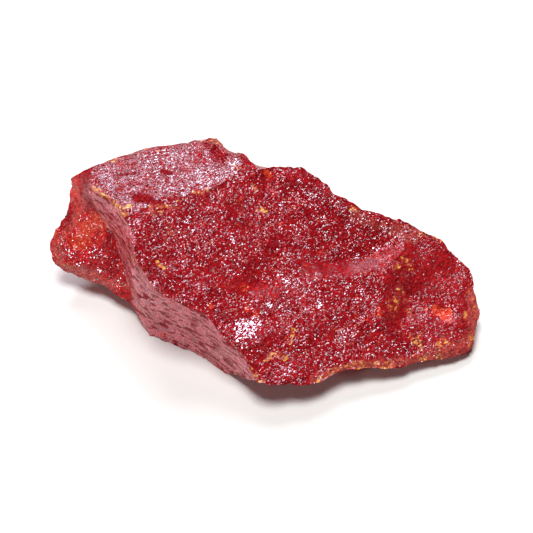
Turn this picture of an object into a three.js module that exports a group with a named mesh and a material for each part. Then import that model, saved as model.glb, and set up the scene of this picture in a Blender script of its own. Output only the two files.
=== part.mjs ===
// A hand specimen of massive realgar: one broken lump, 60 mm long, lying on its flattest fracture.
//
// Millimetres, +Z up. The origin is the middle of the lump's box, on the surface it rests on.
// The lump is bounded by fracture faces. Each face is a skin stretched over a closed loop of
// arrises, the sharp lines where two fractures meet. Ribs are lines and points inside a face
// that the skin has to pass through: lips, hollows and ledges. The whole is then roughened.

import * as THREE from "three";

const GRAIN_SPACING = 0.94; // between neighbouring points of the skin
const BASE_SPACING = 4.0; // the same on the flat base, which has no relief
const EDGE_MARGIN = 0.6; // how far skin points keep from a loop or rib, as a share of the spacing
const SKIN_PASSES = 500; // relaxation passes that stretch each skin

// Each kind of relief starts at its own place in the noise, so that no two share their lumps.
const SWELL = { size: 9.0, height: 0.34, start: [0, 0, 0] }; // broad waves of a fracture
const HACKLE = { size: 3.4, height: 0.26, start: [40, 0, 0] }; // hackly lumps within it
const STROKE = { along: 6.0, across: 1.9, height: 0.2, start: 9 }; // cleavage strokes on the table
const STROKE_HEADING = THREE.MathUtils.degToRad(38); // of the strokes, from +X towards +Y
const CHIP = { size: 2.3, depth: 0.4, start: [0, 70, 0] }; // bites out of the arrises
const ARRIS_ROUGHNESS = 0.6; // share of the roughness that reaches the arrises
const LOWEST_SKIN = 0.3; // the roughness reaches no lower than this, so only the base rests

// Where three or more arrises meet.
const corners = {
  crownFront: [-23.9, 6.3, 17.8],
  crownBack: [-24.0, 10.0, 17.4],
  shoulder: [-18.9, 1.6, 18.1],
  saddle: [-1.1, 10.0, 17.4],
  peak: [-6.8, 15.7, 16.9],
  prow: [-1.2, -16.9, 4.9],
  columnTop: [-27.0, 10.3, 14.5],
  spurToe: [-29.7, 2.5, 4.9],
  spurHeel: [-18.9, -2.5, 2.4],
  eastBack: [24.4, 4.4, 8.7],
  eastFront: [28.5, -9.7, 1.5],
  heelWest: [-16.2, -6.3, 0],
  heelEast: [-5.5, -12.6, 0],
  baseWest: [-21.0, 2.0, 0],
  baseBackWest: [-20.0, 8.0, 0],
  baseBack: [-3.5, 11.5, 0],
  baseBackEast: [19.5, 2.2, 0],
  baseFrontEast: [22.5, -7.2, 0],
};

// Each arris runs from one corner to another through the points between.
const arrises = {
  crownLip: ["crownFront", [-22.3, 4.9, 17.8], [-20.8, 4.0, 17.9], "shoulder"],
  ridge: [
    "shoulder",
    [-16.9, 2.8, 18.1],
    [-13.6, 4.3, 18.0],
    [-10.2, 5.4, 17.6],
    [-8.2, 6.1, 17.4],
    [-5.9, 7.4, 17.4],
    [-3.4, 9.2, 17.6],
    "saddle",
  ],
  crownEast: ["saddle", [-2.3, 11.7, 17.3], [-3.4, 12.8, 17.2], [-5.0, 13.4, 17.1], "peak"],
  crownRear: [
    "peak",
    [-8.2, 15.7, 16.9],
    [-10.4, 15.3, 16.9],
    [-13.2, 14.4, 17.0],
    [-16.2, 13.8, 17.1],
    [-19.8, 12.3, 17.2],
    [-21.6, 11.5, 17.3],
    "crownBack",
  ],
  crownWest: ["crownBack", "crownFront"],
  columnCrest: ["columnTop", [-25.6, 10.1, 16.4], "crownBack"],

  flankTop: [
    "shoulder",
    [-18.6, 0.1, 17.4],
    [-18.2, -1.5, 16.6],
    [-17.8, -2.9, 15.9],
    [-17.5, -4.4, 15.1],
    [-16.7, -5.1, 14.7],
    [-15.9, -6.5, 13.8],
    [-14.4, -7.8, 12.9],
    [-12.5, -8.5, 12.1],
    [-10.4, -9.3, 11.2],
    [-8.3, -9.8, 10.5],
    [-7.0, -11.0, 9.7],
    [-5.8, -12.5, 8.7],
    [-4.0, -13.5, 7.8],
    [-2.8, -14.6, 7.0],
    [-2.0, -16.0, 6.2],
    "prow",
  ],
  frontRim: [
    "prow",
    [1.1, -17.5, 4.8],
    [2.8, -17.1, 4.6],
    [6.2, -16.8, 3.9],
    [8.6, -15.7, 3.7],
    [10.3, -14.6, 3.8],
    [13.3, -13.8, 3.4],
    [18.1, -13.3, 2.5],
    [22.1, -11.8, 2.1],
    [25.7, -11.1, 1.6],
    "eastFront",
  ],
  eastRim: [
    "eastFront",
    [28.9, -8.9, 1.7],
    [29.4, -7.4, 2.2],
    [30.2, -5.4, 2.9],
    [29.6, -2.8, 4.2],
    [29.2, -1.6, 4.8],
    [29.4, -0.4, 5.3],
    [28.7, 0.7, 6.0],
    [26.9, 2.5, 7.2],
    [25.9, 2.9, 7.6],
    "eastBack",
  ],
  backRim: [
    "eastBack",
    [22.4, 4.7, 9.3],
    [21.4, 5.1, 9.7],
    [20.8, 5.6, 10.1],
    [19.2, 6.1, 10.7],
    [17.2, 6.2, 11.2],
    [15.2, 6.6, 11.9],
    [13.0, 6.7, 12.5],
    [12.4, 7.2, 12.8],
    [10.5, 7.7, 13.6],
    [9.2, 8.2, 14.1],
    [8.2, 9.7, 14.9],
    [6.8, 10.1, 15.5],
    [5.2, 10.9, 16.2],
    [0.7, 10.4, 17.1],
    [-0.2, 9.8, 17.1],
    "saddle",
  ],

  valley: [
    "crownFront",
    [-24.3, 6.1, 15.8],
    [-23.4, 5.7, 14.2],
    [-22.4, 4.8, 12.6],
    [-21.2, 3.6, 11.0],
    [-20.5, 2.2, 9.6],
    [-19.9, 0.6, 7.6],
    [-19.2, -0.8, 5.2],
    "spurHeel",
  ],
  westRim: [
    "columnTop",
    [-27.2, 9.5, 12.9],
    [-27.5, 8.0, 11.3],
    [-28.2, 7.2, 10.1],
    [-29.1, 6.2, 8.9],
    [-30.2, 4.6, 7.0],
    [-30.1, 3.2, 5.8],
    "spurToe",
  ],
  bandTop: ["spurToe", [-26.7, 2.0, 5.3], [-23.1, 1.1, 5.1], [-20.6, -0.6, 4.3], "spurHeel"],
  bandFoot: [
    "spurToe",
    [-28.9, 2.5, 3.9],
    [-28.1, 2.1, 3.5],
    [-26.1, 1.4, 3.2],
    [-23.2, 0.3, 3.0],
    [-20.2, -1.6, 2.6],
    "spurHeel",
  ],

  flankFoot: ["spurHeel", [-18.2, -3.5, 1.7], [-17.1, -5.2, 0.7], "heelWest"],
  heel: ["heelWest", [-13.5, -7.6, 0], [-10.4, -8.9, 0], [-7.9, -10.6, 0], "heelEast"],
  prowFoot: ["heelEast", [-3.4, -14.5, 2.0], "prow"],
  westFoot: ["spurToe", [-27.2, 3.6, 2.3], [-24.4, 3.0, 0.7], "baseWest"],
  westBack: ["columnTop", [-26.3, 12.0, 9.5], [-24.0, 11.2, 4.0], "baseBackWest"],
  keel: ["peak", [-6.5, 17.3, 10.5], [-5.2, 15.6, 4.5], "baseBack"],
  eastBackFoot: ["eastBack", [23.6, 5.0, 4.6], "baseBackEast"],
  eastFrontFoot: ["eastFront", [26.0, -8.6, 0.7], "baseFrontEast"],

  sillWest: ["heelWest", [-18.4, -1.2, 0], "baseWest"],
  sillBackWest: ["baseWest", [-21.8, 4.5, 0], "baseBackWest"],
  sillBack: ["baseBackWest", [-12.0, 11.2, 0], "baseBack"],
  sillBackEast: ["baseBack", [5.0, 9.2, 0], [12.0, 6.6, 0], "baseBackEast"],
  sillEast: ["baseBackEast", [23.4, -2.0, 0], "baseFrontEast"],
  sillFront: ["baseFrontEast", [14.0, -8.6, 0], [5.0, -10.2, 0], [-1.0, -11.6, 0], "heelEast"],
};

// Each loop goes round its face counter-clockwise as seen from outside; a minus sign takes an
// arris backwards. dish is how deep the skin is hollowed, as a conchoidal fracture is.
const faces = [
  {
    name: "crown",
    loop: ["crownLip", "ridge", "crownEast", "crownRear", "crownWest"],
    rough: 0.8,
    ribs: {
      ledgeFoot: [[-8.4, 13.8, 17.1], [-7.3, 12.5, 17.2], [-6.3, 11.0, 17.2]],
      ledgeTop: [[-7.0, 14.1, 17.8], [-5.8, 12.7, 18.0], [-4.7, 11.4, 17.9]],
    },
  },
  {
    name: "table",
    loop: ["flankTop", "frontRim", "eastRim", "backRim", "-ridge"],
    rough: 1.0,
    strokes: true,
    ribs: {
      scoopLip: [
        [3.7, -3.4, 10.3],
        [6.2, -3.4, 9.9],
        [9.0, -3.1, 9.5],
        [11.8, -2.4, 9.15],
        [14.5, -1.6, 8.95],
        [17.1, -0.7, 8.9],
        [18.5, 0.7, 9.3],
        [19.5, 2.2, 9.7],
      ],
      scoopFloor: [
        [4.9, -1.5, 10.7],
        [8.3, -0.9, 9.75],
        [11.8, 0.1, 9.05],
        [14.9, 1.2, 8.75],
        [17.2, 2.7, 9.0],
      ],
      scoopSlope: [[10.4, 4.2, 11.6], [14.4, 4.2, 10.4]],
      eastCrease: [[16.5, -2.6, 8.3], [16.0, -4.6, 7.4], [15.9, -6.7, 6.5], [16.4, -8.8, 5.2]],
      eastHollow: [[19.9, -3.6, 5.7], [19.6, -6.2, 4.6]],
      emberPit: [[24.4, -4.9, 3.5]],
      pitRim: [[26.2, -3.8, 4.9], [26.6, -6.2, 3.8], [24.3, -7.4, 3.8]],
      ledgeFront: [[-4.4, -13.0, 8.5], [-2.5, -13.3, 8.1], [-0.6, -12.5, 7.9]],
      ledgeRear: [[-3.6, -9.9, 9.0], [-2.0, -9.3, 8.7], [-0.4, -9.4, 8.4]],
      emberDish: [[-4.0, -5.6, 10.9], [-2.0, -5.4, 10.3], [0.0, -5.1, 10.0]],
      notch: [[0.0, 8.7, 15.8], [0.3, 7.1, 15.2]],
      knob: [[2.7, 8.9, 16.4], [4.9, 8.7, 15.8]],
    },
  },
  {
    name: "flank",
    loop: ["valley", "flankFoot", "heel", "prowFoot", "-flankTop", "-crownLip"],
    rough: 0.3,
    dish: 0.5,
    ribs: {
      bend: [[-18.4, -2.9, 9.4], [-17.2, -5.2, 6.6]],
    },
  },
  {
    name: "spur",
    loop: ["westRim", "bandTop", "-valley", "-crownWest", "-columnCrest"],
    rough: 0.9,
    ribs: {
      swell: [[-24.9, 4.3, 9.3]],
      trough: [[-22.7, 3.0, 7.7], [-21.6, 0.9, 5.7]],
    },
  },
  { name: "band", loop: ["bandFoot", "-bandTop"], rough: 0.4 },
  {
    name: "spurUnderside",
    loop: ["westFoot", "-sillWest", "-flankFoot", "-bandFoot"],
    rough: 0.8,
    dish: 0.3,
  },
  {
    name: "westWall",
    loop: ["westBack", "-sillBackWest", "-westFoot", "-westRim"],
    rough: 0.9,
    dish: 0.7,
  },
  {
    name: "backWest",
    loop: ["-crownRear", "keel", "-sillBack", "-westBack", "columnCrest"],
    rough: 0.7,
    ribs: {
      scarLip: [[-21.5, 13.1, 12.6], [-17.6, 15.2, 11.6], [-13.4, 16.5, 11.9], [-10.2, 16.6, 13.4]],
      scarFloor: [[-19.8, 12.6, 8.4], [-15.2, 13.9, 7.4], [-10.6, 14.9, 8.2]],
    },
  },
  {
    name: "backEast",
    loop: ["-crownEast", "-backRim", "eastBackFoot", "-sillBackEast", "-keel"],
    rough: 1.0,
    ribs: {
      pillar: [[0.9, 13.3, 12.8], [2.0, 13.9, 8.6], [3.4, 12.4, 4.0]],
      gully: [[6.3, 10.7, 10.6], [7.6, 10.0, 6.6], [8.4, 8.9, 3.2]],
      step: [[12.2, 9.3, 8.2], [15.6, 8.1, 6.6], [19.4, 7.0, 5.2]],
    },
  },
  {
    name: "eastWall",
    loop: ["-eastRim", "eastFrontFoot", "-sillEast", "-eastBackFoot"],
    rough: 0.8,
    ribs: { ledge: [[28.0, -5.4, 1.7], [27.4, -1.6, 2.3]] },
  },
  {
    name: "frontUnderside",
    loop: ["-frontRim", "-prowFoot", "-sillFront", "-eastFrontFoot"],
    rough: 0.9,
    ribs: { ripple: [[2.4, -14.0, 2.2], [8.0, -12.2, 1.7], [14.6, -11.2, 1.5]] },
  },
  {
    name: "base",
    loop: ["-heel", "sillWest", "sillBackWest", "sillBack", "sillBackEast", "sillEast", "sillFront"],
    rough: 0,
    spacing: BASE_SPACING,
  },
];

// ---------------------------------------------------------------------------------------------
// Noise: a smooth random field with values between about -1 and 1.

function latticeValue(x, y, z) {
  let h = Math.imul(x, 374761393) ^ Math.imul(y, 668265263) ^ Math.imul(z, 2147483647);
  h = Math.imul(h ^ (h >>> 13), 1274126177);
  h ^= h >>> 16;
  return ((h >>> 0) / 4294967295) * 2 - 1;
}

function noise(x, y, z) {
  const cell = [x, y, z].map(Math.floor);
  const [fx, fy, fz] = [x - cell[0], y - cell[1], z - cell[2]].map((t) => t * t * (3 - 2 * t));
  let sum = 0;
  for (const i of [0, 1])
    for (const j of [0, 1])
      for (const k of [0, 1]) {
        const weight = (i ? fx : 1 - fx) * (j ? fy : 1 - fy) * (k ? fz : 1 - fz);
        sum += weight * latticeValue(cell[0] + i, cell[1] + j, cell[2] + k);
      }
  return sum;
}

// The same random number for the same seed, from 0 to 1.
const random = (seed) => latticeValue(seed, 17, 5) * 0.5 + 0.5;

// ---------------------------------------------------------------------------------------------
// Arrises: every point is shared by the faces on both sides, so the lump closes.

const points = []; // THREE.Vector3, in millimetres
const roughness = []; // the largest of the faces round each point, or 0 on the base
const onArris = []; // whether each point lies on an arris

function addPoint(position, arris) {
  points.push(position);
  onArris.push(arris);
  return points.length - 1;
}

const cornerIndex = Object.fromEntries(
  Object.entries(corners).map(([name, at]) => [name, addPoint(new THREE.Vector3(...at), true)]),
);

// The indices along an arris, with points added wherever two lie more than a grain spacing apart.
function layArris(stops) {
  const isCorner = (stop) => typeof stop === "string";
  const place = (stop) => new THREE.Vector3(...(isCorner(stop) ? corners[stop] : stop));
  const line = [cornerIndex[stops[0]]];
  for (let i = 1; i < stops.length; i++) {
    const [from, to] = [place(stops[i - 1]), place(stops[i])];
    const pieces = Math.max(1, Math.round(from.distanceTo(to) / GRAIN_SPACING));
    for (let k = 1; k < pieces; k++) line.push(addPoint(from.clone().lerp(to, k / pieces), true));
    line.push(isCorner(stops[i]) ? cornerIndex[stops[i]] : addPoint(to, true));
  }
  return line;
}

const lines = Object.fromEntries(
  Object.entries(arrises).map(([name, stops]) => [name, layArris(stops)]),
);

// The indices round a face, each once.
function closeLoop(names) {
  return names.flatMap((name) => {
    const line = name.startsWith("-") ? [...lines[name.slice(1)]].reverse() : lines[name];
    return line.slice(0, -1);
  });
}

// ---------------------------------------------------------------------------------------------
// Triangulation of one face, flattened onto its own plane.

const turn = (a, b, c) => (b.x - a.x) * (c.y - a.y) - (b.y - a.y) * (c.x - a.x);

function inCircle(a, b, c, p) {
  const [ax, ay, bx, by, cx, cy] = [a.x - p.x, a.y - p.y, b.x - p.x, b.y - p.y, c.x - p.x, c.y - p.y];
  const [aa, bb, cc] = [ax * ax + ay * ay, bx * bx + by * by, cx * cx + cy * cy];
  return ax * (by * cc - bb * cy) - ay * (bx * cc - bb * cx) + aa * (bx * cy - by * cx) > 1e-9;
}

// A Delaunay triangulation that keeps the loop's own edges: it starts from the bare loop, and
// takes in one point at a time, flipping edges until no triangle's circle holds a neighbour.
class Triangulation {
  constructor(flat, loopLength) {
    this.flat = flat;
    this.triangles = [];
    this.owner = new Map(); // directed edge "a,b" to the triangle that has it
    for (const [a, b, c] of THREE.ShapeUtils.triangulateShape(flat.slice(0, loopLength), []))
      this.write(this.triangles.length, [a, b, c]);
    const folded = this.triangles.some(([a, b, c]) => turn(flat[a], flat[b], flat[c]) < -1e-9);
    if (folded || this.triangles.length !== loopLength - 2) throw new Error("a loop folds over itself");
    for (const [a, b, c] of [...this.triangles])
      for (const [from, to] of [[a, b], [b, c], [c, a]]) this.legalise(from, to);
  }

  write(slot, [a, b, c]) {
    this.triangles[slot] = [a, b, c];
    for (const [from, to] of [[a, b], [b, c], [c, a]]) this.owner.set(from + "," + to, slot);
  }

  apex(slot, from, to) {
    return this.triangles[slot].find((v) => v !== from && v !== to);
  }

  legalise(from, to) {
    const [near, far] = [this.owner.get(from + "," + to), this.owner.get(to + "," + from)];
    if (near === undefined || far === undefined) return;
    const [p, q] = [this.apex(near, from, to), this.apex(far, from, to)];
    const f = this.flat;
    if (!inCircle(f[p], f[from], f[to], f[q])) return;
    if (turn(f[p], f[from], f[q]) <= 0 || turn(f[p], f[q], f[to]) <= 0) return;
    this.owner.delete(from + "," + to);
    this.owner.delete(to + "," + from);
    this.write(near, [p, from, q]);
    this.write(far, [p, q, to]);
    for (const [a, b] of [[from, q], [q, to], [to, p], [p, from]]) this.legalise(a, b);
  }

  // Puts point p into the middle of the edge between two others.
  split(from, to, p) {
    const [near, far] = [this.owner.get(from + "," + to), this.owner.get(to + "," + from)];
    const [x, y] = [this.apex(near, from, to), this.apex(far, from, to)];
    this.owner.delete(from + "," + to);
    this.owner.delete(to + "," + from);
    this.write(near, [from, p, x]);
    this.write(far, [to, p, y]);
    this.write(this.triangles.length, [p, to, x]);
    this.write(this.triangles.length, [p, from, y]);
  }

  insert(p) {
    const f = this.flat;
    const slot = this.triangles.findIndex(
      ([a, b, c]) => turn(f[a], f[b], f[p]) >= 0 && turn(f[b], f[c], f[p]) >= 0 && turn(f[c], f[a], f[p]) >= 0,
    );
    if (slot < 0) throw new Error("a skin point lies outside its loop");
    const [a, b, c] = this.triangles[slot];
    this.write(slot, [a, b, p]);
    this.write(this.triangles.length, [b, c, p]);
    this.write(this.triangles.length, [c, a, p]);
    for (const [from, to] of [[a, b], [b, c], [c, a]]) this.legalise(from, to);
  }
}

// Newell's normal of a loop, which points out of the lump for a counter-clockwise loop.
function loopNormal(loop) {
  const normal = new THREE.Vector3();
  loop.forEach((index, i) => {
    const [p, q] = [points[index], points[loop[(i + 1) % loop.length]]];
    normal.x += (p.y - q.y) * (p.z + q.z);
    normal.y += (p.z - q.z) * (p.x + q.x);
    normal.z += (p.x - q.x) * (p.y + q.y);
  });
  return normal.normalize();
}

function isInside(p, polygon) {
  let inside = false;
  polygon.forEach((a, i) => {
    const b = polygon[(i + 1) % polygon.length];
    if (a.y > p.y !== b.y > p.y && p.x < ((b.x - a.x) * (p.y - a.y)) / (b.y - a.y) + a.x) inside = !inside;
  });
  return inside;
}

// Points of a hexagonal grid inside a polygon, clear of everything already there.
function gridInside(polygon, taken, spacing) {
  const found = [];
  const box = new THREE.Box2().setFromPoints(polygon);
  const rowStep = (spacing * Math.sqrt(3)) / 2;
  for (let row = 0, y = box.min.y; y < box.max.y; row++, y += rowStep)
    for (let x = box.min.x + (row % 2 ? spacing / 2 : 0); x < box.max.x; x += spacing) {
      const seed = found.length * 2 + Math.round(x * 31 + y * 57);
      const p = new THREE.Vector2(x, y).addScalar(-0.1 * spacing);
      p.x += 0.2 * spacing * random(seed);
      p.y += 0.2 * spacing * random(seed + 1);
      const clear = taken.every((q) => q.distanceTo(p) > EDGE_MARGIN * spacing);
      if (clear && isInside(p, polygon)) found.push(p);
    }
  return found;
}

// Solves for heights over the face's plane: each free point is the mean of its neighbours, less
// a steady pull. With no pull that is a stretched skin, and with one it is a round hollow.
function relax(heights, free, neighbours, pull) {
  for (let pass = 0; pass < SKIN_PASSES; pass++)
    for (const i of free) {
      let sum = 0;
      for (const j of neighbours[i]) sum += heights[j];
      heights[i] = sum / neighbours[i].size - pull;
    }
  return heights;
}

// The points of a face's ribs, with more added between those of one rib.
function ribPoints(ribs) {
  return Object.values(ribs ?? {}).flatMap((rib) => {
    const stops = rib.map((at) => new THREE.Vector3(...at));
    return stops.flatMap((stop, i) => {
      if (i === 0) return [stop];
      const before = stops[i - 1];
      const pieces = Math.max(1, Math.round(before.distanceTo(stop) / GRAIN_SPACING));
      return Array.from({ length: pieces }, (_, k) => before.clone().lerp(stop, (k + 1) / pieces));
    });
  });
}

const triangles = [];
const chords = new Set(); // edges that cross a face straight from one loop point to another

function stretchSkin({ loop: names, ribs, rough, dish = 0, strokes = false, spacing = GRAIN_SPACING }) {
  const loop = closeLoop(names);
  const normal = loopNormal(loop);
  const across = new THREE.Vector3(0, 0, 1).cross(normal);
  if (across.length() < 0.05) across.set(1, 0, 0);
  across.addScaledVector(normal, -across.dot(normal)).normalize();
  const upward = normal.clone().cross(across);
  const flatten = (p) => new THREE.Vector2(p.dot(across), p.dot(upward));

  const outline = loop.map((i) => flatten(points[i]));
  const fixed = ribPoints(ribs);
  const ribFlat = fixed.map(flatten);
  const grid = gridInside(outline, [...outline, ...ribFlat], spacing);
  const flat = [...outline, ...ribFlat, ...grid];

  const mesh = new Triangulation(flat, loop.length);
  for (let i = loop.length; i < flat.length; i++) mesh.insert(i);

  // Two faces may not both cut the same corner off a shared arris: the second splits its chord.
  for (const edge of [...mesh.owner.keys()]) {
    const [from, to] = edge.split(",").map(Number);
    if (from > to || to >= loop.length || !mesh.owner.has(to + "," + from)) continue;
    const chord = [loop[from], loop[to]].sort((a, b) => a - b).join();
    if (chords.has(chord)) {
      grid.push(flat[from].clone().lerp(flat[to], 0.5));
      flat.push(grid.at(-1));
      mesh.split(from, to, flat.length - 1);
    }
    chords.add(chord);
  }

  const neighbours = flat.map(() => new Set());
  for (const [a, b, c] of mesh.triangles)
    for (const [from, to] of [[a, b], [b, c], [c, a]]) {
      neighbours[from].add(to);
      neighbours[to].add(from);
    }
  const firstFree = loop.length + fixed.length;
  const free = grid.map((_, k) => firstFree + k);
  const pinned = [...loop.map((i) => points[i]), ...fixed].map((p) => p.dot(normal));
  const level = pinned.reduce((sum, h) => sum + h, 0) / pinned.length;
  const heights = relax([...pinned, ...grid.map(() => level)], free, neighbours, 0);
  if (dish) {
    const hollow = relax(flat.map(() => 0), free, neighbours, 1);
    const deepest = Math.min(...hollow);
    free.forEach((i) => (heights[i] += (dish * hollow[i]) / -deepest));
  }

  const index = flat.map((at, i) => {
    if (i < loop.length) return loop[i];
    const p = new THREE.Vector3().addScaledVector(across, at.x).addScaledVector(upward, at.y);
    return addPoint(p.addScaledVector(normal, heights[i]), false);
  });
  for (const i of index) roughness[i] = rough === 0 ? 0 : Math.min(roughness[i] ?? rough, rough);
  for (const [a, b, c] of mesh.triangles) triangles.push({ corners: [index[a], index[b], index[c]], strokes });
}

// ---------------------------------------------------------------------------------------------
// Roughening: every point moves along its normal, and the arrises are chipped.

function pointNormals() {
  const normals = points.map(() => new THREE.Vector3());
  for (const { corners: [a, b, c] } of triangles) {
    const faceNormal = points[b].clone().sub(points[a]).cross(points[c].clone().sub(points[a]));
    for (const i of [a, b, c]) normals[i].add(faceNormal);
  }
  return normals.map((n) => n.normalize());
}

// Noise whose lumps are as large as size says.
const lumps = (p, { size, start: [x, y, z] }) => noise(p.x / size + x, p.y / size + y, p.z / size + z);

// Noise drawn out along the strokes' heading.
function strokeHeight(p) {
  const [cosine, sine] = [Math.cos(STROKE_HEADING), Math.sin(STROKE_HEADING)];
  const along = (p.x * cosine + p.y * sine) / STROKE.along;
  const across = (p.y * cosine - p.x * sine) / STROKE.across;
  return STROKE.height * noise(along, across, p.z / STROKE.along + STROKE.start);
}

function roughen() {
  const normals = pointNormals();
  const stroked = new Set(triangles.filter((t) => t.strokes).flatMap((t) => t.corners));
  points.forEach((p, i) => {
    if (roughness[i] === 0) return;
    let lift = SWELL.height * lumps(p, SWELL) + HACKLE.height * lumps(p, HACKLE);
    if (stroked.has(i)) lift += strokeHeight(p);
    lift *= roughness[i];
    if (onArris[i]) lift = ARRIS_ROUGHNESS * lift - CHIP.depth * Math.max(0, lumps(p, CHIP));
    p.addScaledVector(normals[i], lift);
    p.z = Math.max(p.z, LOWEST_SKIN);
  });
}

// ---------------------------------------------------------------------------------------------

for (const face of faces) stretchSkin(face);
roughen();

const box = new THREE.Box3().setFromPoints(points);
const middle = box.getCenter(new THREE.Vector3());
for (const p of points) p.sub(new THREE.Vector3(middle.x, middle.y, box.min.z));

const geometry = new THREE.BufferGeometry().setFromPoints(points);
geometry.setIndex(triangles.flatMap((t) => t.corners));
geometry.computeVertexNormals();

const realgar = new THREE.MeshStandardMaterial({ color: 0x9a1f24, roughness: 0.35, metalness: 0 });
const lump = new THREE.Mesh(geometry, realgar);
lump.name = "realgar_lump";

const specimen = new THREE.Group();
specimen.add(lump);

export default specimen;
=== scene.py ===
"""A hand specimen of massive realgar on a white table top.

The lump's broken faces are refined from the solid model: the arrises stay sharp, and each kind of
fracture gets its own relief, from hackly cleavage strokes to a smooth conchoidal flank. Lengths on
the stone are in millimetres and turn to metres only where a mesh or a lamp is written.
"""

import logging
import math
from dataclasses import dataclass, field
from enum import Enum, IntEnum
from functools import partial
from typing import NamedTuple

import bmesh
import bpy
import numpy as np
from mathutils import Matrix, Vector


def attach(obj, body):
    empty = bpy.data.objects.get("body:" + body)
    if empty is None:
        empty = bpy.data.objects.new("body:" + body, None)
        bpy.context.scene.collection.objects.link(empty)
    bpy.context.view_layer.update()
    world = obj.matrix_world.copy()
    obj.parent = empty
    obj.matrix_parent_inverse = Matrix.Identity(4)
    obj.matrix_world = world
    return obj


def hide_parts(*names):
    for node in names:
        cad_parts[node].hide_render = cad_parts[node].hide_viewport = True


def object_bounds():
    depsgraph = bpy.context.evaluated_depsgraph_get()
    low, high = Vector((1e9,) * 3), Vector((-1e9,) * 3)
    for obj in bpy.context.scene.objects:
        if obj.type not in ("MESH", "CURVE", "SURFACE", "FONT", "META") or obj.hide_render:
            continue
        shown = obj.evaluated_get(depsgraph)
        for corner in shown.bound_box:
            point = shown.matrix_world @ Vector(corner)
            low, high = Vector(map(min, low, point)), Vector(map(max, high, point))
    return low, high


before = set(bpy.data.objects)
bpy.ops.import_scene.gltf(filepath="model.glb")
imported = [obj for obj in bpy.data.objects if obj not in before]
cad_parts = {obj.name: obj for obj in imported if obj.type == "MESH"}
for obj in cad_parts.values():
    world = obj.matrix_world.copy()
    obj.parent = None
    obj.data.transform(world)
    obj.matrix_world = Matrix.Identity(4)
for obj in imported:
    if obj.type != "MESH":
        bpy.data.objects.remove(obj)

MM = 0.001
CAD_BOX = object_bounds()

Size = tuple[float, float, float]  # length, width and depth, mm
Pixels = tuple[tuple[float, float], ...]  # right and down from the main view's top left corner

log = logging.getLogger("realgar")


# ---------------------------------------------------------------------------------------------
# Colours and nodes

# The sRGB curve: a straight foot, and a power above it.
FOOT_END = 0.04045
FOOT_SLOPE = 12.92
CURVE_OFFSET = 0.055
CURVE_POWER = 2.4
BYTE = 255  # the largest level of two hex digits


def linear(hex_colour: str) -> tuple[float, float, float, float]:
    """Turns an sRGB hex colour to linear light.

    Args:
        hex_colour: Six hex digits after a hash.

    Returns:
        Red, green, blue and an alpha of 1.
    """
    rgb = []
    for start in (1, 3, 5):
        level = int(hex_colour[start : start + 2], 16) / BYTE
        curved = ((level + CURVE_OFFSET) / (1 + CURVE_OFFSET)) ** CURVE_POWER
        rgb.append(level / FOOT_SLOPE if level <= FOOT_END else curved)
    return (*rgb, 1.0)


def add(
    tree: bpy.types.NodeTree,
    kind: str,
    inputs: dict | tuple = (),
    **settings: object,
) -> bpy.types.Node:
    """Adds a shader node with its settings, values and links.

    Args:
        tree: The node tree that takes it.
        kind: The node's type, without "ShaderNode".
        inputs: What the sockets take, by their names, or in order for those that the settings
            leave open. An output socket is linked, and so is a node, by its first open output.
        settings: The node's own properties.

    Returns:
        The new node.
    """
    node = tree.nodes.new("ShaderNode" + kind)
    for name, value in settings.items():
        setattr(node, name, value)
    if isinstance(inputs, dict):
        pairs = [(node.inputs[name], value) for name, value in inputs.items()]
    else:
        pairs = zip([socket for socket in node.inputs if socket.enabled], inputs)
    for socket, value in pairs:
        if isinstance(value, bpy.types.Node):
            value = next(output for output in value.outputs if output.enabled)
        if isinstance(value, bpy.types.NodeSocket):
            tree.links.new(value, socket)
        else:
            socket.default_value = value
    return node


# ---------------------------------------------------------------------------------------------
# Random fields over points, all seeded

# Large odd numbers that stir a cell's coordinates and its seed together.
AXIS_STIRRERS = (73856093, 19349663, 83492791)
SEED_STIRRER = 2654435761
DRAW_STIRRERS = (2246822519, 374761393, 3266489917)
DRAW_SHIFTS = (15, 13, 16)
WORD = 4294967295.0  # the largest 32-bit number


class Seed(IntEnum):
    """Which pattern each use of the random fields takes."""

    HACKLES = 5
    GRAINS = 11
    FINE_GRAINS = 23
    CHIPS = 31
    RIPPLES = 47
    FINE_RIPPLES = 48
    CRUST = 61
    FINE_CRUST = 62
    FAR_CRUST = 63
    FAR_EMBER = 64
    WANDER = 71
    OUTLINES = 90
    VEIL_GAPS = 91
    PATCHES = 100


def scatter(cells: np.ndarray, seed: int) -> np.ndarray:
    """Three random numbers for each integer cell.

    Args:
        cells: Integer cell coordinates, N by 3.
        seed: Any whole number; another one gives other numbers.

    Returns:
        Numbers from 0 to 1, N by 3.
    """
    axes = cells.astype(np.int64).astype(np.uint32).T
    first, rise, last = [np.uint32(stirrer) for stirrer in DRAW_STIRRERS]
    before, between, after = [np.uint32(shift) for shift in DRAW_SHIFTS]
    draws = []
    with np.errstate(over="ignore"):
        parts = [axis * np.uint32(stirrer) for axis, stirrer in zip(axes, AXIS_STIRRERS)]
        stirred = parts[0] ^ parts[1] ^ parts[2]
        stirred = stirred + np.uint32(seed) * np.uint32(SEED_STIRRER)
        for step in (1, 2, 3):
            draw = (stirred ^ (stirred >> before)) * first + np.uint32(step) * rise
            draw = (draw ^ (draw >> between)) * last
            draws.append((draw ^ (draw >> after)) / WORD)
    return np.stack(draws, axis=1)


def ease(share: np.ndarray) -> np.ndarray:
    """Bends shares from 0 to 1, so that they leave 0 and reach 1 softly."""
    return share * share * (3 - 2 * share)


def ramp(values: np.ndarray, low: float, high: float) -> np.ndarray:
    """A smooth step from 0 at low to 1 at high."""
    return ease(np.clip((values - low) / (high - low), 0, 1))


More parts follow.
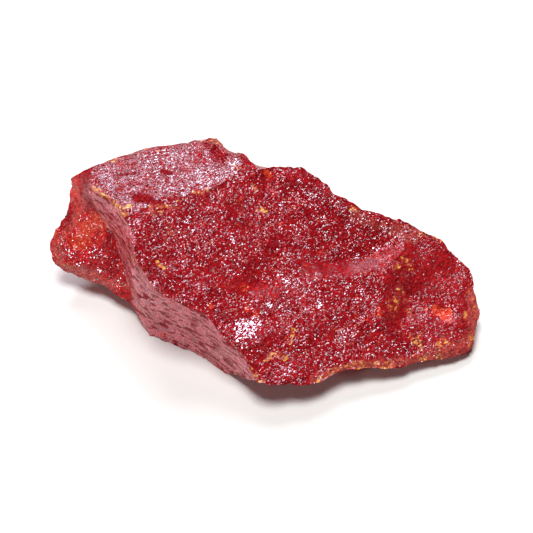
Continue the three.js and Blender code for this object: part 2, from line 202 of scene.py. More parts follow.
def lumps(points: np.ndarray, size: float, seed: int) -> np.ndarray:
    """Smooth random waves.

    Args:
        points: Places in millimetres, N by 3.
        size: The width of a lump in millimetres.
        seed: Which pattern.

    Returns:
        Heights from about -1 to 1.
    """
    scaled = points / size
    base = np.floor(scaled)
    share = ease(scaled - base)
    total = np.zeros(len(points))
    for corner in np.ndindex(2, 2, 2):
        weight = np.prod(np.where(corner, share, 1 - share), axis=1)
        total += weight * scatter(base + corner, seed)[:, 0]
    return total * 2 - 1


def facets(points: np.ndarray, size: Size, seed: int) -> np.ndarray:
    """Relief of random crystal cells, each cut off flat at its own tilt.

    Args:
        points: Places in millimetres, N by 3, already turned into the cells' own axes.
        size: A cell's size.
        seed: Which pattern.

    Returns:
        Heights in cell widths, flat within each cell and stepped between cells.
    """
    scaled = points / np.array(size)
    base = np.floor(scaled)
    nearest = np.full(len(scaled), np.inf)
    height = np.zeros(len(scaled))
    for offset in np.ndindex(3, 3, 3):
        cell = base + offset - 1
        away = scaled - (cell + scatter(cell, seed))
        distance = (away**2).sum(axis=1)
        tilt = scatter(cell, seed + 1) * 2 - 1
        closer = distance < nearest
        nearest = np.where(closer, distance, nearest)
        height = np.where(closer, (away * tilt).sum(axis=1), height)
    return height


def inside(points: np.ndarray, outline: Pixels) -> np.ndarray:
    """Tells which points of a plane lie inside an outline.

    Args:
        points: Places in the plane, N by 2.
        outline: The corners, in order.

    Returns:
        True or false for each point.
    """
    enclosed = np.zeros(len(points), dtype=bool)
    for (ax, ay), (bx, by) in zip(outline, outline[1:] + outline[:1]):
        between = (ay > points[:, 1]) != (by > points[:, 1])
        if ay != by:
            reach = ax + (points[:, 1] - ay) * (bx - ax) / (by - ay)
            enclosed ^= between & (points[:, 0] < reach)
    return enclosed


# ---------------------------------------------------------------------------------------------
# The main view, and the marks that are placed in it


@dataclass(frozen=True)
class MainView:
    """Where the specimen is looked at from: over its front, with a long lens."""

    frame_pixels: int = 533
    lens_pixels: float = 2160.0  # focal length in pixels of that frame
    elevation: float = math.radians(55.0)
    distance: float = 300.0  # from the target, mm
    target: Vector = field(default_factory=lambda: Vector((0.30, 0.055, 8.14)))
    sensor: float = 36.0  # mm
    nearest: float = 0.01  # where the view starts, m

    @property
    def direction(self) -> Vector:
        """The way the camera looks."""
        return Vector((0.0, math.cos(self.elevation), -math.sin(self.elevation)))

    @property
    def right(self) -> Vector:
        """The way to the right of the frame."""
        return Vector((1.0, 0.0, 0.0))

    @property
    def up(self) -> Vector:
        """The way to the top of the frame."""
        return self.right.cross(self.direction)

    @property
    def eye(self) -> Vector:
        """The camera's place, in millimetres."""
        return self.target - self.distance * self.direction

    def make_camera(self) -> bpy.types.Object:
        """Adds the scene's camera.

        Returns:
            The camera object.
        """
        data = bpy.data.cameras.new("main_camera")
        data.sensor_width = self.sensor
        data.lens = self.sensor * self.lens_pixels / self.frame_pixels
        data.clip_start = self.nearest
        camera = bpy.data.objects.new("main_camera", data)
        camera.location = self.eye * MM
        camera.rotation_euler = self.direction.to_track_quat("-Z", "Y").to_euler()
        bpy.context.scene.collection.objects.link(camera)
        bpy.context.scene.camera = camera
        return camera

    def project(self, points: np.ndarray) -> np.ndarray:
        """Finds the pixels of the main view at which points show.

        Args:
            points: Places in millimetres, N by 3.

        Returns:
            Right and down from the frame's top left corner, N by 2.
        """
        away = points - np.array(self.eye)
        depth = away @ np.array(self.direction)
        across, rise = away @ np.array(self.right) / depth, away @ np.array(self.up) / depth
        return self.frame_pixels / 2 + self.lens_pixels * np.stack([across, -rise], axis=1)

    def place(self, pixel: tuple[float, float], carrier: bpy.types.Object) -> np.ndarray:
        """Finds the point of a surface that shows at a pixel of the main view.

        Args:
            pixel: Right and down from the frame's top left corner.
            carrier: The object that the ray is cast at.

        Returns:
            The point in millimetres.
        """
        across, down = [(value - self.frame_pixels / 2) / self.lens_pixels for value in pixel]
        ray = (self.direction + self.right * across - self.up * down).normalized()
        hit, point, _, _ = carrier.ray_cast(self.eye * MM, ray)
        if not hit:
            beside = (self.eye + ray * self.distance) * MM
            _, point, _, _ = carrier.closest_point_on_mesh(beside)
        return np.array(point) / MM


class Mark(Enum):
    """What a patch of the surface is, apart from plain crimson realgar."""

    EMBER = "ember"  # fresh orange-red grains
    CRUST = "crust"  # golden pararealgar and orpiment, grown on weathered edges
    GLINT = "glint"  # cleavages that lie level and mirror a lamp
    SHEEN = "sheen"  # a veil, where every grain mirrors the light a little, over a body painted darker as shade
    POLISH = "polish"  # smooth skin with no sparkle
    SILK = "silk"  # the conchoidal flank, mauve with short dark tears
    FRESH_AND_PAINTED_LIGHT = "fresh"  # a younger break, scarlet, and painted lighter as light on faces that the lamps leave dim
    SHADED_HOLLOW = "deep"  # hollows, painted dark red as their shade, and without sparkle
    DUST_AND_HIGHLIGHT = "dust_and_highlight"  # pale rims and faces: in part crushed dust, in part painted highlight on rims that catch the light and painted light on faces in shade


@dataclass(frozen=True)
class Patch:
    """A patch along a line of pixels of the main view."""

    name: str
    radius: float  # mm
    pixels: Pixels
    strength: float = 1.0
    ragged: float = 0.5  # how far its edge wanders, as a share of the radius
    core: float = 0.45  # the share of the radius within which it is full


# Each row gives a patch's name, radius, pixels, strength, raggedness and core.
PATCHES = {
    # partly painted light: scarlet that lifts faces the lamps leave dim
    Mark.FRESH_AND_PAINTED_LIGHT: (
        Patch("heart of the spur", 4.5, ((82, 246), (92, 228)), 1.0, 0.2),
        Patch("whole of the spur", 7.0, ((66, 250), (88, 262)), 0.6, 0.2),
        Patch("upper limb of the spur", 2.6, ((74, 178), (76, 200), (84, 220)), 1.0, 0.2),
        Patch("foot of the column", 2.0, ((108, 285), (128, 300), (136, 318)), 0.8, 0.2),
        Patch("column", 3.0, ((104, 226), (112, 244), (116, 262), (124, 284)), 1.0, 0.1),
        Patch("peak of the back edge", 1.6, ((270, 170), (271, 188)), 0.35, 0.3),
        Patch("smear", 1.4, ((224, 284), (240, 287), (262, 290), (276, 288)), 0.36, 0.8),
        Patch("right end", 7.0, ((412, 290), (432, 276), (450, 300), (458, 322)), 0.3, 0.3),
    ),
    Mark.EMBER: (
        Patch("heart of the spur", 1.8, ((78, 240), (86, 230), (98, 222)), 0.8),
        Patch("round the heart of the spur", 2.6, ((80, 243), (94, 234)), 0.36),
        Patch("tip of the spur", 0.5, ((55, 234), (57, 228)), 0.7),
        Patch("upper limb of the spur", 1.2, ((76, 180), (74, 200), (80, 215)), 0.3),
        Patch("foot of the column", 1.0, ((134, 296), (140, 315)), 0.45),
        Patch("foot of the flank", 0.45, ((163, 335), (165, 336)), 0.7),
        Patch("middle of the flank", 0.4, ((199, 328), (201, 330)), 0.7),
        Patch("smear", 1.0, ((230, 285), (250, 288)), 0.18),
        Patch("over the flash", 0.8, ((246, 306), (257, 313)), 0.5),
        Patch("inside the flank's arris", 0.5, ((211, 306),), 0.9),
        Patch("pit in the right end", 1.5, ((436, 308), (444, 314))),
        Patch("left of the pit", 0.4, ((379, 306), (380, 314))),
        Patch("peak of the back edge", 0.5, ((266, 172), (268, 175)), 0.6),
    ),
    Mark.CRUST: (
        Patch("arris over the spur", 0.6, ((92, 187), (101, 194), (110, 199), (118, 207), (125, 213)), 0.8),
        Patch("corner of the crown", 0.8, ((122, 212), (129, 206))),
        Patch("foot of the crown", 0.5, ((192, 192), (200, 191), (207, 189)), 0.8),
        Patch("right foot of the crown", 0.4, ((218, 188),)),
        Patch("middle of the crown", 0.35, ((188, 166), (190, 167)), 0.7),
        Patch("back of the crown", 0.5, ((146, 149), (158, 151)), 0.5, 0.8),
        Patch("summit", 0.7, ((206, 139), (218, 143)), 0.5, 0.8),
        Patch("shoulder of the crown", 0.35, ((234, 165), (238, 168)), 0.6),
        Patch("left of the crown", 0.5, ((112, 162), (118, 159)), 0.4, 0.8),
        Patch("under the crown", 0.9, ((150, 208), (166, 210), (176, 205)), 0.4, 0.8),
        Patch("lower under the crown", 0.8, ((168, 226), (176, 230)), 0.4, 0.8),
        Patch("head of the table", 0.4, ((253, 186), (256, 190)), 0.8),
        Patch("upper table", 0.6, ((257, 209), (266, 213)), 0.8),
        Patch("back edge", 0.5, ((352, 208), (357, 213)), 0.8),
        Patch("right of the back edge", 0.4, ((420, 234), (426, 235)), 0.7),
        Patch("flank's upper arris", 0.4, ((134, 262), (131, 256)), 0.9),
        Patch("left of the table", 0.4, ((157, 262), (164, 268))),
        Patch("curl over the right end", 0.6, ((396, 266), (402, 261), (408, 262), (411, 268)), 0.55),
        Patch("cloud left of the pit", 1.2, ((390, 316), (394, 303), (399, 294)), 0.46, 0.8),
        Patch("heart of the cloud by the pit", 0.5, ((396, 299), (398, 303)), 0.9),
        Patch("right of the cloud by the pit", 0.8, ((406, 300), (409, 313)), 0.4, 0.8),
        Patch("right of the pit", 0.6, ((463, 315), (466, 318)), 0.8, 0.8),
        Patch("right rim", 0.8, ((470, 296), (476, 312), (475, 328)), 0.4),
        Patch("low right rim", 0.7, ((468, 344), (472, 336)), 0.5),
        Patch("under the pit", 1.0, ((416, 338), (420, 346), (417, 354)), 0.45, 0.8),
        Patch("low right face", 0.9, ((444, 344), (440, 354)), 0.55, 0.8),
        Patch("right front rim", 0.8, ((398, 362), (430, 358)), 0.3),
        Patch("front rim", 0.8, ((318, 379), (334, 370), (352, 365), (372, 366), (392, 364)), 0.6),
        Patch("low table", 0.4, ((293, 330), (291, 343)), 0.7),
        Patch("prow", 0.6, ((266, 358), (276, 352), (285, 360), (284, 363)), 0.6),
        Patch("tip of the prow", 0.7, ((252, 372), (262, 381)), 0.6),
        Patch("foot of the spur", 0.6, ((62, 262), (68, 266)), 0.45),
    ),
    Mark.GLINT: (
        Patch("spur", 7.0, ((62, 246), (84, 262), (104, 266)), 0.34, 0.1),
        Patch("upper limb of the spur", 4.5, ((84, 196), (92, 216), (108, 236)), 0.34, 0.1),
        Patch("foot of the column", 0.35, ((98, 269), (102, 272)), 0.9, 0.2),
        Patch("lowest of the column", 0.3, ((115, 286), (118, 288)), 0.9, 0.2),
        Patch("tip of the spur", 0.25, ((69, 251), (71, 252)), 0.8, 0.2),
        Patch("flash", 1.7, ((240, 334), (254, 323))),
        Patch("right of the flash", 0.6, ((267, 303), (271, 306)), 0.8),
        Patch("under the smear", 0.9, ((281, 276), (287, 283)), 0.65),
        Patch("left of the scoop", 0.5, ((260, 279), (265, 279)), 0.6),
        Patch("start of the scoop", 0.8, ((305, 281), (311, 284)), 0.45),
        Patch("under the scoop", 0.8, ((317, 303), (320, 307)), 0.6),
        Patch("right of the scoop", 0.8, ((357, 284), (360, 292)), 0.55),
        Patch("inside the flank's arris", 1.0, ((200, 286), (206, 292)), 0.45),
        Patch("lower inside the flank's arris", 0.5, ((206, 304),), 0.8),
        Patch("middle of the table", 0.5, ((229, 235), (234, 240)), 0.6),
        Patch("left of the table", 0.5, ((190, 218), (186, 224)), 0.5),
        Patch("corner of the table", 0.5, ((134, 229), (133, 224)), 0.6),
        Patch("corner of the crown", 0.8, ((119, 206), (124, 209)), 0.7),
        Patch("foot of the crown", 0.9, ((132, 207), (146, 204)), 0.4),
        Patch("prow", 0.5, ((288, 371), (284, 376)), 0.7),
        Patch("back edge", 0.4, ((347, 225), (352, 224)), 0.7),
        Patch("over the scoop", 0.4, ((350, 259), (358, 256)), 0.7),
        Patch("upper over the scoop", 0.4, ((369, 250), (373, 248)), 0.7),
        Patch("rim of the pit", 0.25, ((452, 297), (457, 300), (462, 303)), 1.0, 0.2),
        Patch("lower rim of the pit", 0.25, ((445, 322), (454, 316)), 0.7, 0.2),
        Patch("back of the crown", 1.3, ((86, 177), (104, 173), (122, 172)), 0.66),
    ),
    Mark.SHEEN: (
        Patch("right end", 7.0, ((412, 290), (432, 276), (450, 300), (458, 322)), 0.2, 0.3),
        Patch("back edge", 1.2, ((300, 187), (340, 206), (372, 227), (410, 238)), 0.6),
    ),
    # painted shade: hollows and gouges painted dark red
    Mark.SHADED_HOLLOW: (
        Patch("notch by the summit", 0.9, ((206, 144), (213, 152), (218, 158)), 0.55),
        Patch("left gouge", 1.0, ((139, 199), (146, 199)), 1.0, 0.4, 0.7),
        Patch("right gouge", 0.8, ((152, 200), (162, 205)), 0.9),
        Patch("streak in the crown", 0.4, ((163, 172), (170, 173)), 0.9, 0.4, 0.7),
        Patch("left streak in the crown", 0.3, ((116, 175), (138, 173)), 0.7, 0.4, 0.7),
        Patch("left of the table", 1.0, ((150, 272), (166, 284)), 0.7),
        Patch("over the flank's arris", 0.9, ((226, 320), (218, 310)), 0.5),
        Patch("beside the column", 1.6, ((110, 238), (114, 252), (114, 270)), 0.6),
        Patch("left of the right end", 1.6, ((412, 290), (430, 286)), 0.4),
        Patch("top of the right end", 1.6, ((420, 262), (440, 258)), 0.2),
    ),
    Mark.POLISH: (
        Patch("scoop", 1.4, ((306, 271), (330, 270), (356, 267), (378, 260)), 0.8),
        Patch("tail of the scoop", 1.0, ((378, 260), (400, 249)), 0.35),
        Patch("smear", 1.4, ((226, 286), (250, 289), (276, 290)), 0.5),
        Patch("right end", 6.0, ((408, 285), (432, 272), (450, 300), (458, 322)), 0.15, 0.3),
        Patch("dome of the right end", 2.2, ((420, 296), (440, 270), (450, 262)), 0.45),
        Patch("peak of the back edge", 1.2, ((268, 174), (272, 186)), 0.25),
        Patch("upper limb of the spur", 1.0, ((76, 182), (74, 202)), 0.5),
        Patch("heart of the spur", 1.3, ((80, 234), (90, 228), (98, 223)), 0.55),
    ),
    # pale dust, with painted highlight on rims and painted light on faces in shade
    Mark.DUST_AND_HIGHLIGHT: (
        Patch("right rim", 1.2, ((472, 296), (474, 312), (472, 334), (462, 347), (430, 358)), 0.5, 0.6),
        Patch("front rim", 1.1, ((430, 358), (398, 362), (352, 368), (318, 381)), 0.42, 0.6),
        Patch("foot of the spur", 1.2, ((56, 250), (60, 266), (84, 274), (104, 283), (122, 300)), 0.7, 0.6),
        Patch("left edge of the spur", 0.8, ((72, 180), (68, 205), (56, 226), (56, 246)), 0.55, 0.6),
        Patch("foot of the flank", 1.3, ((196, 352), (214, 364), (232, 376)), 0.35, 0.6),
        Patch("back edge", 1.2, ((356, 216), (386, 229), (414, 236)), 0.35, 0.6),
        Patch("strip over the spur", 1.1, ((86, 192), (98, 206), (116, 234), (126, 255)), 0.35, 0.6),
    ),
}

# The conchoidal flank and the strip that climbs from it to the crown, past their arrises.
FLANK_OUTLINE = (
    # down the strip's left side
    (88, 190), (94, 204), (102, 218), (111, 232), (117, 246), (123, 262), (127, 280), (133, 300),
    # along the foot and round the prow
    (138, 325), (150, 342), (200, 368), (225, 388), (250, 394), (264, 386), (252, 366),
    # back up the arris to the table
    (240, 350), (228, 338), (218, 320), (203, 306), (185, 296), (163, 286), (147, 270),
    # up the strip's right side
    (139, 250), (131, 230), (118, 208), (102, 194), (92, 184),
)

# The crown, which lies level and mirrors the window.
CROWN_OUTLINE = (
    # along its back, and down the notch
    (84, 178), (74, 170), (130, 140), (212, 124), (226, 134), (243, 163), (237, 173),
    # along its foot
    (218, 187), (196, 194), (178, 198), (160, 198), (150, 204), (133, 214), (120, 212), (103, 196),
)


# ---------------------------------------------------------------------------------------------
# The stone's material


class Span(NamedTuple):
    """Two ends that a number runs between."""

    low: float
    high: float


WHOLE = Span(0.0, 1.0)
MIDDLE = (0.5, 0.5, 0.5)  # of three draws from 0 to 1


class Draws(NamedTuple):
    """The three random numbers, from 0 to 1, that each cell of a pattern draws."""

    first: bpy.types.NodeSocket
    second: bpy.types.NodeSocket
    third: bpy.types.NodeSocket


class Spread(NamedTuple):
    """How a mark breaks up in cells that wear it and cells that don't."""

    most: float  # the share of cells that wear it where it is strongest
    edge: Span  # how far past its draw a cell starts to wear it, and fully does
    weight: float = 2.0  # of the cell's draw for that, beside the grain's


@dataclass(frozen=True)
class RealgarFinish:
    """Massive realgar: deep crimson cleavage grains with an adamantine to resinous gloss.

    Its index is about 2.6, so bare cleavages mirror a fifth of the light head-on: grains that
    face a lamp turn lilac or white, and between them the deep red body shows. Smooth fractures
    have a resinous, mauve sheen. Marks written on the mesh say where the stone is freshly broken
    and painted lighter, crushed and painted pale as highlight, or crusted with its golden weathering
    products, where it glints or lies smooth, and where its hollows are painted dark as shade.
    """

    slot: str = "realgar"

    # Colours of the body, from the shade painted in the hollows to the brightest clouds
    deep: str = "#760A13"
    dark: str = "#920F18"
    body: str = "#A5131C"
    bright: str = "#B71C24"
    # Colours of what lies on it
    fleck: str = "#C8532A"
    # partly painted light: lifts faces that the lamps leave dim
    fresh: str = "#D0262A"
    ember: str = "#CC2C1C"
    ember_light: str = "#FF6C46"
    crust: str = "#C85C3E"
    crust_light: str = "#F6B048"
    # pale dust, painted highlight and painted light
    dust_and_highlight: str = "#E26E62"
    silk: str = "#EC666E"
    tear: str = "#A01825"
    sheen: str = "#F5F1FF"  # what absorbs blue mirrors it best
    index: float = 2.6

    # Patterns
    clouds: Size = (2.0, 2.0, 2.0)  # darker and brighter red
    rows: Size = (2.2, 0.55, 0.55)  # rows of like grains, along and across the strokes
    grains: Size = (0.28, 0.14, 0.14)  # cleavage grains
    dust: Size = (0.12, 0.12, 0.12)  # the finest grains, drawn as coarse as they can show
    chunks: Size = (1.1, 0.7, 0.7)  # blocks of a fresh break
    nuggets: Size = (0.4, 0.28, 0.28)  # grains of crust
    tears: Size = (2.2, 0.5, 0.5)  # on the flank
    stroke_heading: float = math.radians(38.0)
    flank_heading: float = math.radians(-45.0)
    cloud_detail: float = 4.0  # finer layers in the clouds
    streak_detail: float = 2.0  # and in the rows and tears
    noise_roughness: float = 0.6

    # Where a pattern turns one thing into another
    cloud_tones: tuple[float, float, float] = (0.28, 0.5, 0.74)  # of dark, body and bright
    flecked: Span = Span(0.976, 0.984)
    silk_clouds: Span = Span(0.42, 0.66)  # where the body starts to show through the silk
    torn: Span = Span(0.69, 0.735)
    tear_clouds: float = 0.35  # how far the clouds gather the tears
    golden: Span = Span(0.4, 0.8)
    ember_spread: Spread = Spread(1.2, Span(0.0, 0.1))
    crust_spread: Spread = Spread(0.8, Span(0.0, 0.12))

    # How much of a colour shows, and how bright the cells make it
    veil_depth: float = 0.36  # of the deep red painted under a veil, as shade for the light that the veil mirrors away
    hollow_depth: float = 0.55  # and painted in the hollows as their shade
    silk_body: Span = Span(0.0, 0.5)  # of the body through the silk
    dust_and_highlight_grains: Span = Span(0.3, 1.0)
    chunk_shade: Span = Span(0.75, 1.2)
    nugget_shade: Span = Span(0.65, 1.25)
    grain_shade: Span = Span(0.42, 1.38)
    dust_shade: Span = Span(0.7, 1.25)

    # How well the cells mirror, where 0.5 is a clean surface
    bare: Span = Span(0.15, 0.9)  # draws of a filmed and of a bare cleavage
    cleavage_mirror: Span = Span(0.014, 0.6)
    row_levels: Span = Span(0.4, 0.6)
    row_gain: Span = Span(0.6, 1.3)
    cloud_levels: Span = Span(0.35, 0.65)
    cloud_gain: Span = Span(0.8, 1.15)
    fresh_bare: Span = Span(0.3, 0.9)
    fresh_mirror: Span = Span(0.003, 0.3)
    glint_mirror: Span = Span(0.08, 0.75)
    veil_mirror: Span = Span(0.05, 0.19)
    hollow_gain: Span = Span(1.0, 0.12)
    polish_mirror: float = 0.045
    silk_mirror: Span = Span(0.05, 0.48)
    tear_gain: Span = Span(1.0, 0.1)

    # Roughness
    cleavage_roughness: Span = Span(0.10, 0.26)
    polish_roughness: float = 0.12  # more where the skin is smooth
    silk_roughness: float = 0.1  # more on the flank
    crust_roughness: float = 0.3  # more on the crust

    # Tilts, against a surface normal of length 1
    grain_tilt: float = 0.55
    dust_tilt: float = 0.5
    polish_calm: float = -0.85  # how much of the tilt a smooth skin loses
    silk_calm: float = -0.5
    window_aim: tuple[float, float, float] = (-0.25, 0.45, 3.2)  # turns a grain to the window
    ceiling_aim: tuple[float, float, float] = (0.4, -1.4, 6.5)  # or, on a fresh break, to the ceiling
    glint_share: float = 1.2  # the draw under which a grain glints where the mark is full
    glint_edge: Span = Span(0.0, 0.2)  # how far past its draw a grain starts to, and fully does
    grain_weight: float = 1.5  # of the grain's draw for that, beside the dust's

    def make(self) -> bpy.types.Material:
        """Builds the material, which reads the marks off the mesh.

        Returns:
            The material.
        """
        material = bpy.data.materials.new("realgar_cleavage_and_crust")
        material.use_nodes = True
        material.node_tree.nodes.clear()
        RealgarShader(self, material.node_tree).build()
        return material


class RealgarShader:
    """The node tree of a realgar finish, built part by part."""

    def __init__(self, finish: RealgarFinish, tree: bpy.types.NodeTree) -> None:
        """Lays out the coordinates, the random cells and the marks.

        Args:
            finish: The colours and sizes.
            tree: The empty tree that takes the nodes.
        """
        self.finish = finish
        self.add = partial(add, tree)
        object_place = self.add("TexCoord").outputs["Object"]
        self.place = self.add("VectorMath", (object_place, 1 / MM), operation="SCALE")
        self.strokes = self._turned(finish.stroke_heading)
        self.grain = self._cells(finish.grains)
        self.dust = self._cells(finish.dust)
        self.chunk = self._cells(finish.chunks)
        self.nugget = self._cells(finish.nuggets)
        self.clouds = self._soft_clouds(self.place, finish.clouds, finish.cloud_detail)
        self.marks = {
            mark: self.add("Attribute", attribute_name=mark.value).outputs["Fac"] for mark in Mark
        }
        self.tears = self._tears()
        self.glints = self._glints()

    def build(self) -> None:
        """Joins the parts in one shader."""
        surface = {
            "Base Color": self._colour(),
            "Roughness": self._roughness(),
            "IOR": self.finish.index,
            "Specular IOR Level": self._mirror(),
            "Specular Tint": linear(self.finish.sheen),
            "Normal": self._normal(),
        }
        self.add("OutputMaterial", {"Surface": self.add("BsdfPrincipled", surface)})

    def _turned(self, heading: float) -> bpy.types.Node:
        """The place in millimetres, in axes turned to a heading."""
        inputs = {"Vector": self.place, "Angle": -heading}
        return self.add("VectorRotate", inputs, rotation_type="Z_AXIS")

    def _scaled(self, place: bpy.types.Node, size: Size) -> bpy.types.Node:
        """The place counted in sizes of a pattern."""
        per_millimetre = tuple(1 / length for length in size)
        return self.add("VectorMath", (place, per_millimetre), operation="MULTIPLY")

    def _soft_clouds(self, place: bpy.types.Node, size: Size, detail: float) -> bpy.types.Node:
        """Clouds with soft edges.

        Args:
            place: The coordinates in millimetres.
            size: A cloud's size.
            detail: How many finer layers it carries.

        Returns:
            A number about 0.5.
        """
        inputs = {
            "Vector": self._scaled(place, size),
            "Scale": 1.0,
            "Detail": detail,
            "Roughness": self.finish.noise_roughness,
        }
        return self.add("TexNoise", inputs)

    def _cells(self, size: Size) -> Draws:
        """Random cells that follow the cleavage strokes.

        Args:
            size: A cell's size.

        Returns:
            The numbers that each cell draws.
        """
        inputs = {"Vector": self._scaled(self.strokes, size), "Scale": 1.0}
        colour = self.add("TexVoronoi", inputs).outputs["Color"]
        return Draws(*self.add("SeparateColor", (colour,)).outputs)

    def _tears(self) -> bpy.types.Node:
        """Short dark tears that cross the flank, gathered in clouds.

        Returns:
            Their share.
        """
        finish = self.finish
        flank = self._turned(finish.flank_heading)
        streaks = self._soft_clouds(flank, finish.tears, finish.streak_detail)
        gathered = (self.clouds, finish.tear_clouds, streaks)
        uneven = self.add("Math", gathered, operation="MULTIPLY_ADD")
        torn = self.add("MapRange", (uneven, *finish.torn, *WHOLE))
        return self.add("Math", (torn, self.marks[Mark.SILK]), operation="MULTIPLY")

    def _glints(self) -> bpy.types.Node:
        """Picks the grains that glint, as many as the mark's strength says.

        Returns:
            How much each glints.
        """
        finish = self.finish
        draws = (self.grain.first, finish.grain_weight, self.dust.first)
        draw = self.add("Math", draws, operation="MULTIPLY_ADD")
        reach = self.add("Math", (self.marks[Mark.GLINT], finish.glint_share), operation="MULTIPLY")
        over = self.add("Math", (reach, draw), operation="SUBTRACT")
        return self.add("MapRange", (over, *finish.glint_edge, *WHOLE))

    def _scattered(self, mark: Mark, cells: Draws, spread: Spread) -> bpy.types.Node:
        """Breaks a mark up, so that as many cells wear it as its strength says.

        Args:
            mark: The mark.
            cells: The random cells that wear it or don't.
            spread: How many wear it, and how sharply.

        Returns:
            The mark's share.
        """
        draws = (cells.first, spread.weight, self.grain.first)
        draw = self.add("Math", draws, operation="MULTIPLY_ADD")
        spared = self.add("Math", (draw, spread.weight + 1), operation="DIVIDE")
        reach = self.add("Math", (self.marks[mark], spread.most), operation="MULTIPLY")
        over = self.add("Math", (reach, spared), operation="SUBTRACT")
        return self.add("MapRange", (over, *spread.edge, *WHOLE))

    def _colour(self) -> bpy.types.Node:
        """Lays the stone's colours over one another, from the body to the crust.

        Returns:
            The whole stone's colour.
        """
        finish, marks = self.finish, self.marks
        body = self._body()
        embers = self._scattered(Mark.EMBER, self.chunk, finish.ember_spread)
        crusted = self._scattered(Mark.CRUST, self.nugget, finish.crust_spread)
        layers = (
            # partly painted light: scarlet lifting faces the lamps leave dim
            (marks[Mark.FRESH_AND_PAINTED_LIGHT], self._fresh_and_painted_light(), "MIX"),
            # painted shade: deep red in the hollows and under the veil
            (self._painted_shade_share(), linear(finish.deep), "MIX"),
            (marks[Mark.SILK], self._silk(body), "MIX"),
            # painted highlight on rims and painted light on dim faces, with pale dust
            (self._dust_and_highlight(), linear(finish.dust_and_highlight), "MIX"),
            (1.0, self._shade(), "MULTIPLY"),
            (embers, self._ember(), "MIX"),
            (crusted, self._crust(), "MIX"),
        )
        colour = self._flecked(body)
        for share, layer, way in layers:
            colour = self.add("Mix", (share, colour, layer), data_type="RGBA", blend_type=way)
        return colour

    def _body(self) -> bpy.types.Node:
        """Crimson in clouds of three tones.

        Returns:
            The colour.
        """
        finish = self.finish
        tones = self.add("ValToRGB", (self.clouds,))
        dark, body, bright = finish.cloud_tones
        stops = tones.color_ramp.elements
        stops[0].position, stops[0].color = dark, linear(finish.dark)
        stops[1].position, stops[1].color = bright, linear(finish.bright)
        stops.new(body).color = linear(finish.body)
        return tones

    def _flecked(self, body: bpy.types.Node) -> bpy.types.Node:
        """The body with a few orange grains."""
        flecks = self.add("MapRange", (self.grain.second, *self.finish.flecked, *WHOLE))
        return self.add("Mix", (flecks, body, linear(self.finish.fleck)), data_type="RGBA")

    def _fresh_and_painted_light(self) -> bpy.types.Node:
        """Scarlet, painted lighter than the body where the lamps leave faces dim, brighter and darker from
        one chunk and nugget to the next.

        Returns:
            The colour.
        """
        finish = self.finish
        chunk = self.add("MapRange", (self.chunk.first, *WHOLE, *finish.chunk_shade))
        nugget = self.add("MapRange", (self.nugget.first, *WHOLE, *finish.nugget_shade))
        blocks = self.add("Math", (chunk, nugget), operation="MULTIPLY")
        shaded = (1.0, linear(finish.fresh), blocks)
        return self.add("Mix", shaded, data_type="RGBA", blend_type="MULTIPLY")

    def _painted_shade_share(self) -> bpy.types.Node:
        """How much painted shade of deep red shows, under a veil and in the hollows.

        Returns:
            Its share.
        """
        finish, marks = self.finish, self.marks
        # painted shade under the crown's veil
        veiled = self.add("Math", (marks[Mark.SHEEN], finish.veil_depth), operation="MULTIPLY")
        # painted shade in the hollows
        hollow = (marks[Mark.SHADED_HOLLOW], finish.hollow_depth, veiled)
        return self.add("Math", hollow, operation="MULTIPLY_ADD")

    def _silk(self, body: bpy.types.Node) -> bpy.types.Node:
        """The flank's mauve, with its tears and with clouds of the body.

        Args:
            body: The body's colour.

        Returns:
            The colour.
        """
        finish = self.finish
        torn = (self.tears, linear(finish.silk), linear(finish.tear))
        silk = self.add("Mix", torn, data_type="RGBA")
        through = self.add("MapRange", (self.clouds, *finish.silk_clouds, *finish.silk_body))
        return self.add("Mix", (through, silk, body), data_type="RGBA")

    def _dust_and_highlight(self) -> bpy.types.Node:
        """Where rims and faces are painted pale, grain by grain: dust, painted highlight and painted light.
        """
        patchy = self.add("MapRange", (self.grain.third, *WHOLE, *self.finish.dust_and_highlight_grains))
        return self.add("Math", (self.marks[Mark.DUST_AND_HIGHLIGHT], patchy), operation="MULTIPLY")

    def _shade(self) -> bpy.types.Node:
        """How bright each grain is beside its neighbours.

        Returns:
            A factor about 1.
        """
        grain = self.add("MapRange", (self.grain.first, *WHOLE, *self.finish.grain_shade))
        dust = self.add("MapRange", (self.dust.first, *WHOLE, *self.finish.dust_shade))
        return self.add("Math", (grain, dust), operation="MULTIPLY")

    def _ember(self) -> bpy.types.Node:
        """Orange-red, lit from within here and there.

        Returns:
            The colour.
        """
        finish = self.finish
        glow = self.add("Math", (self.nugget.third, self.grain.second), operation="MULTIPLY")
        tones = (glow, linear(finish.ember), linear(finish.ember_light))
        return self.add("Mix", tones, data_type="RGBA")

    def _crust(self) -> bpy.types.Node:
        """Brown-orange, with golden nuggets.

        Returns:
            The colour.
        """
        finish = self.finish
        golden = self.add("MapRange", (self.nugget.second, *finish.golden, *WHOLE))
        tones = (golden, linear(finish.crust), linear(finish.crust_light))
        return self.add("Mix", tones, data_type="RGBA")

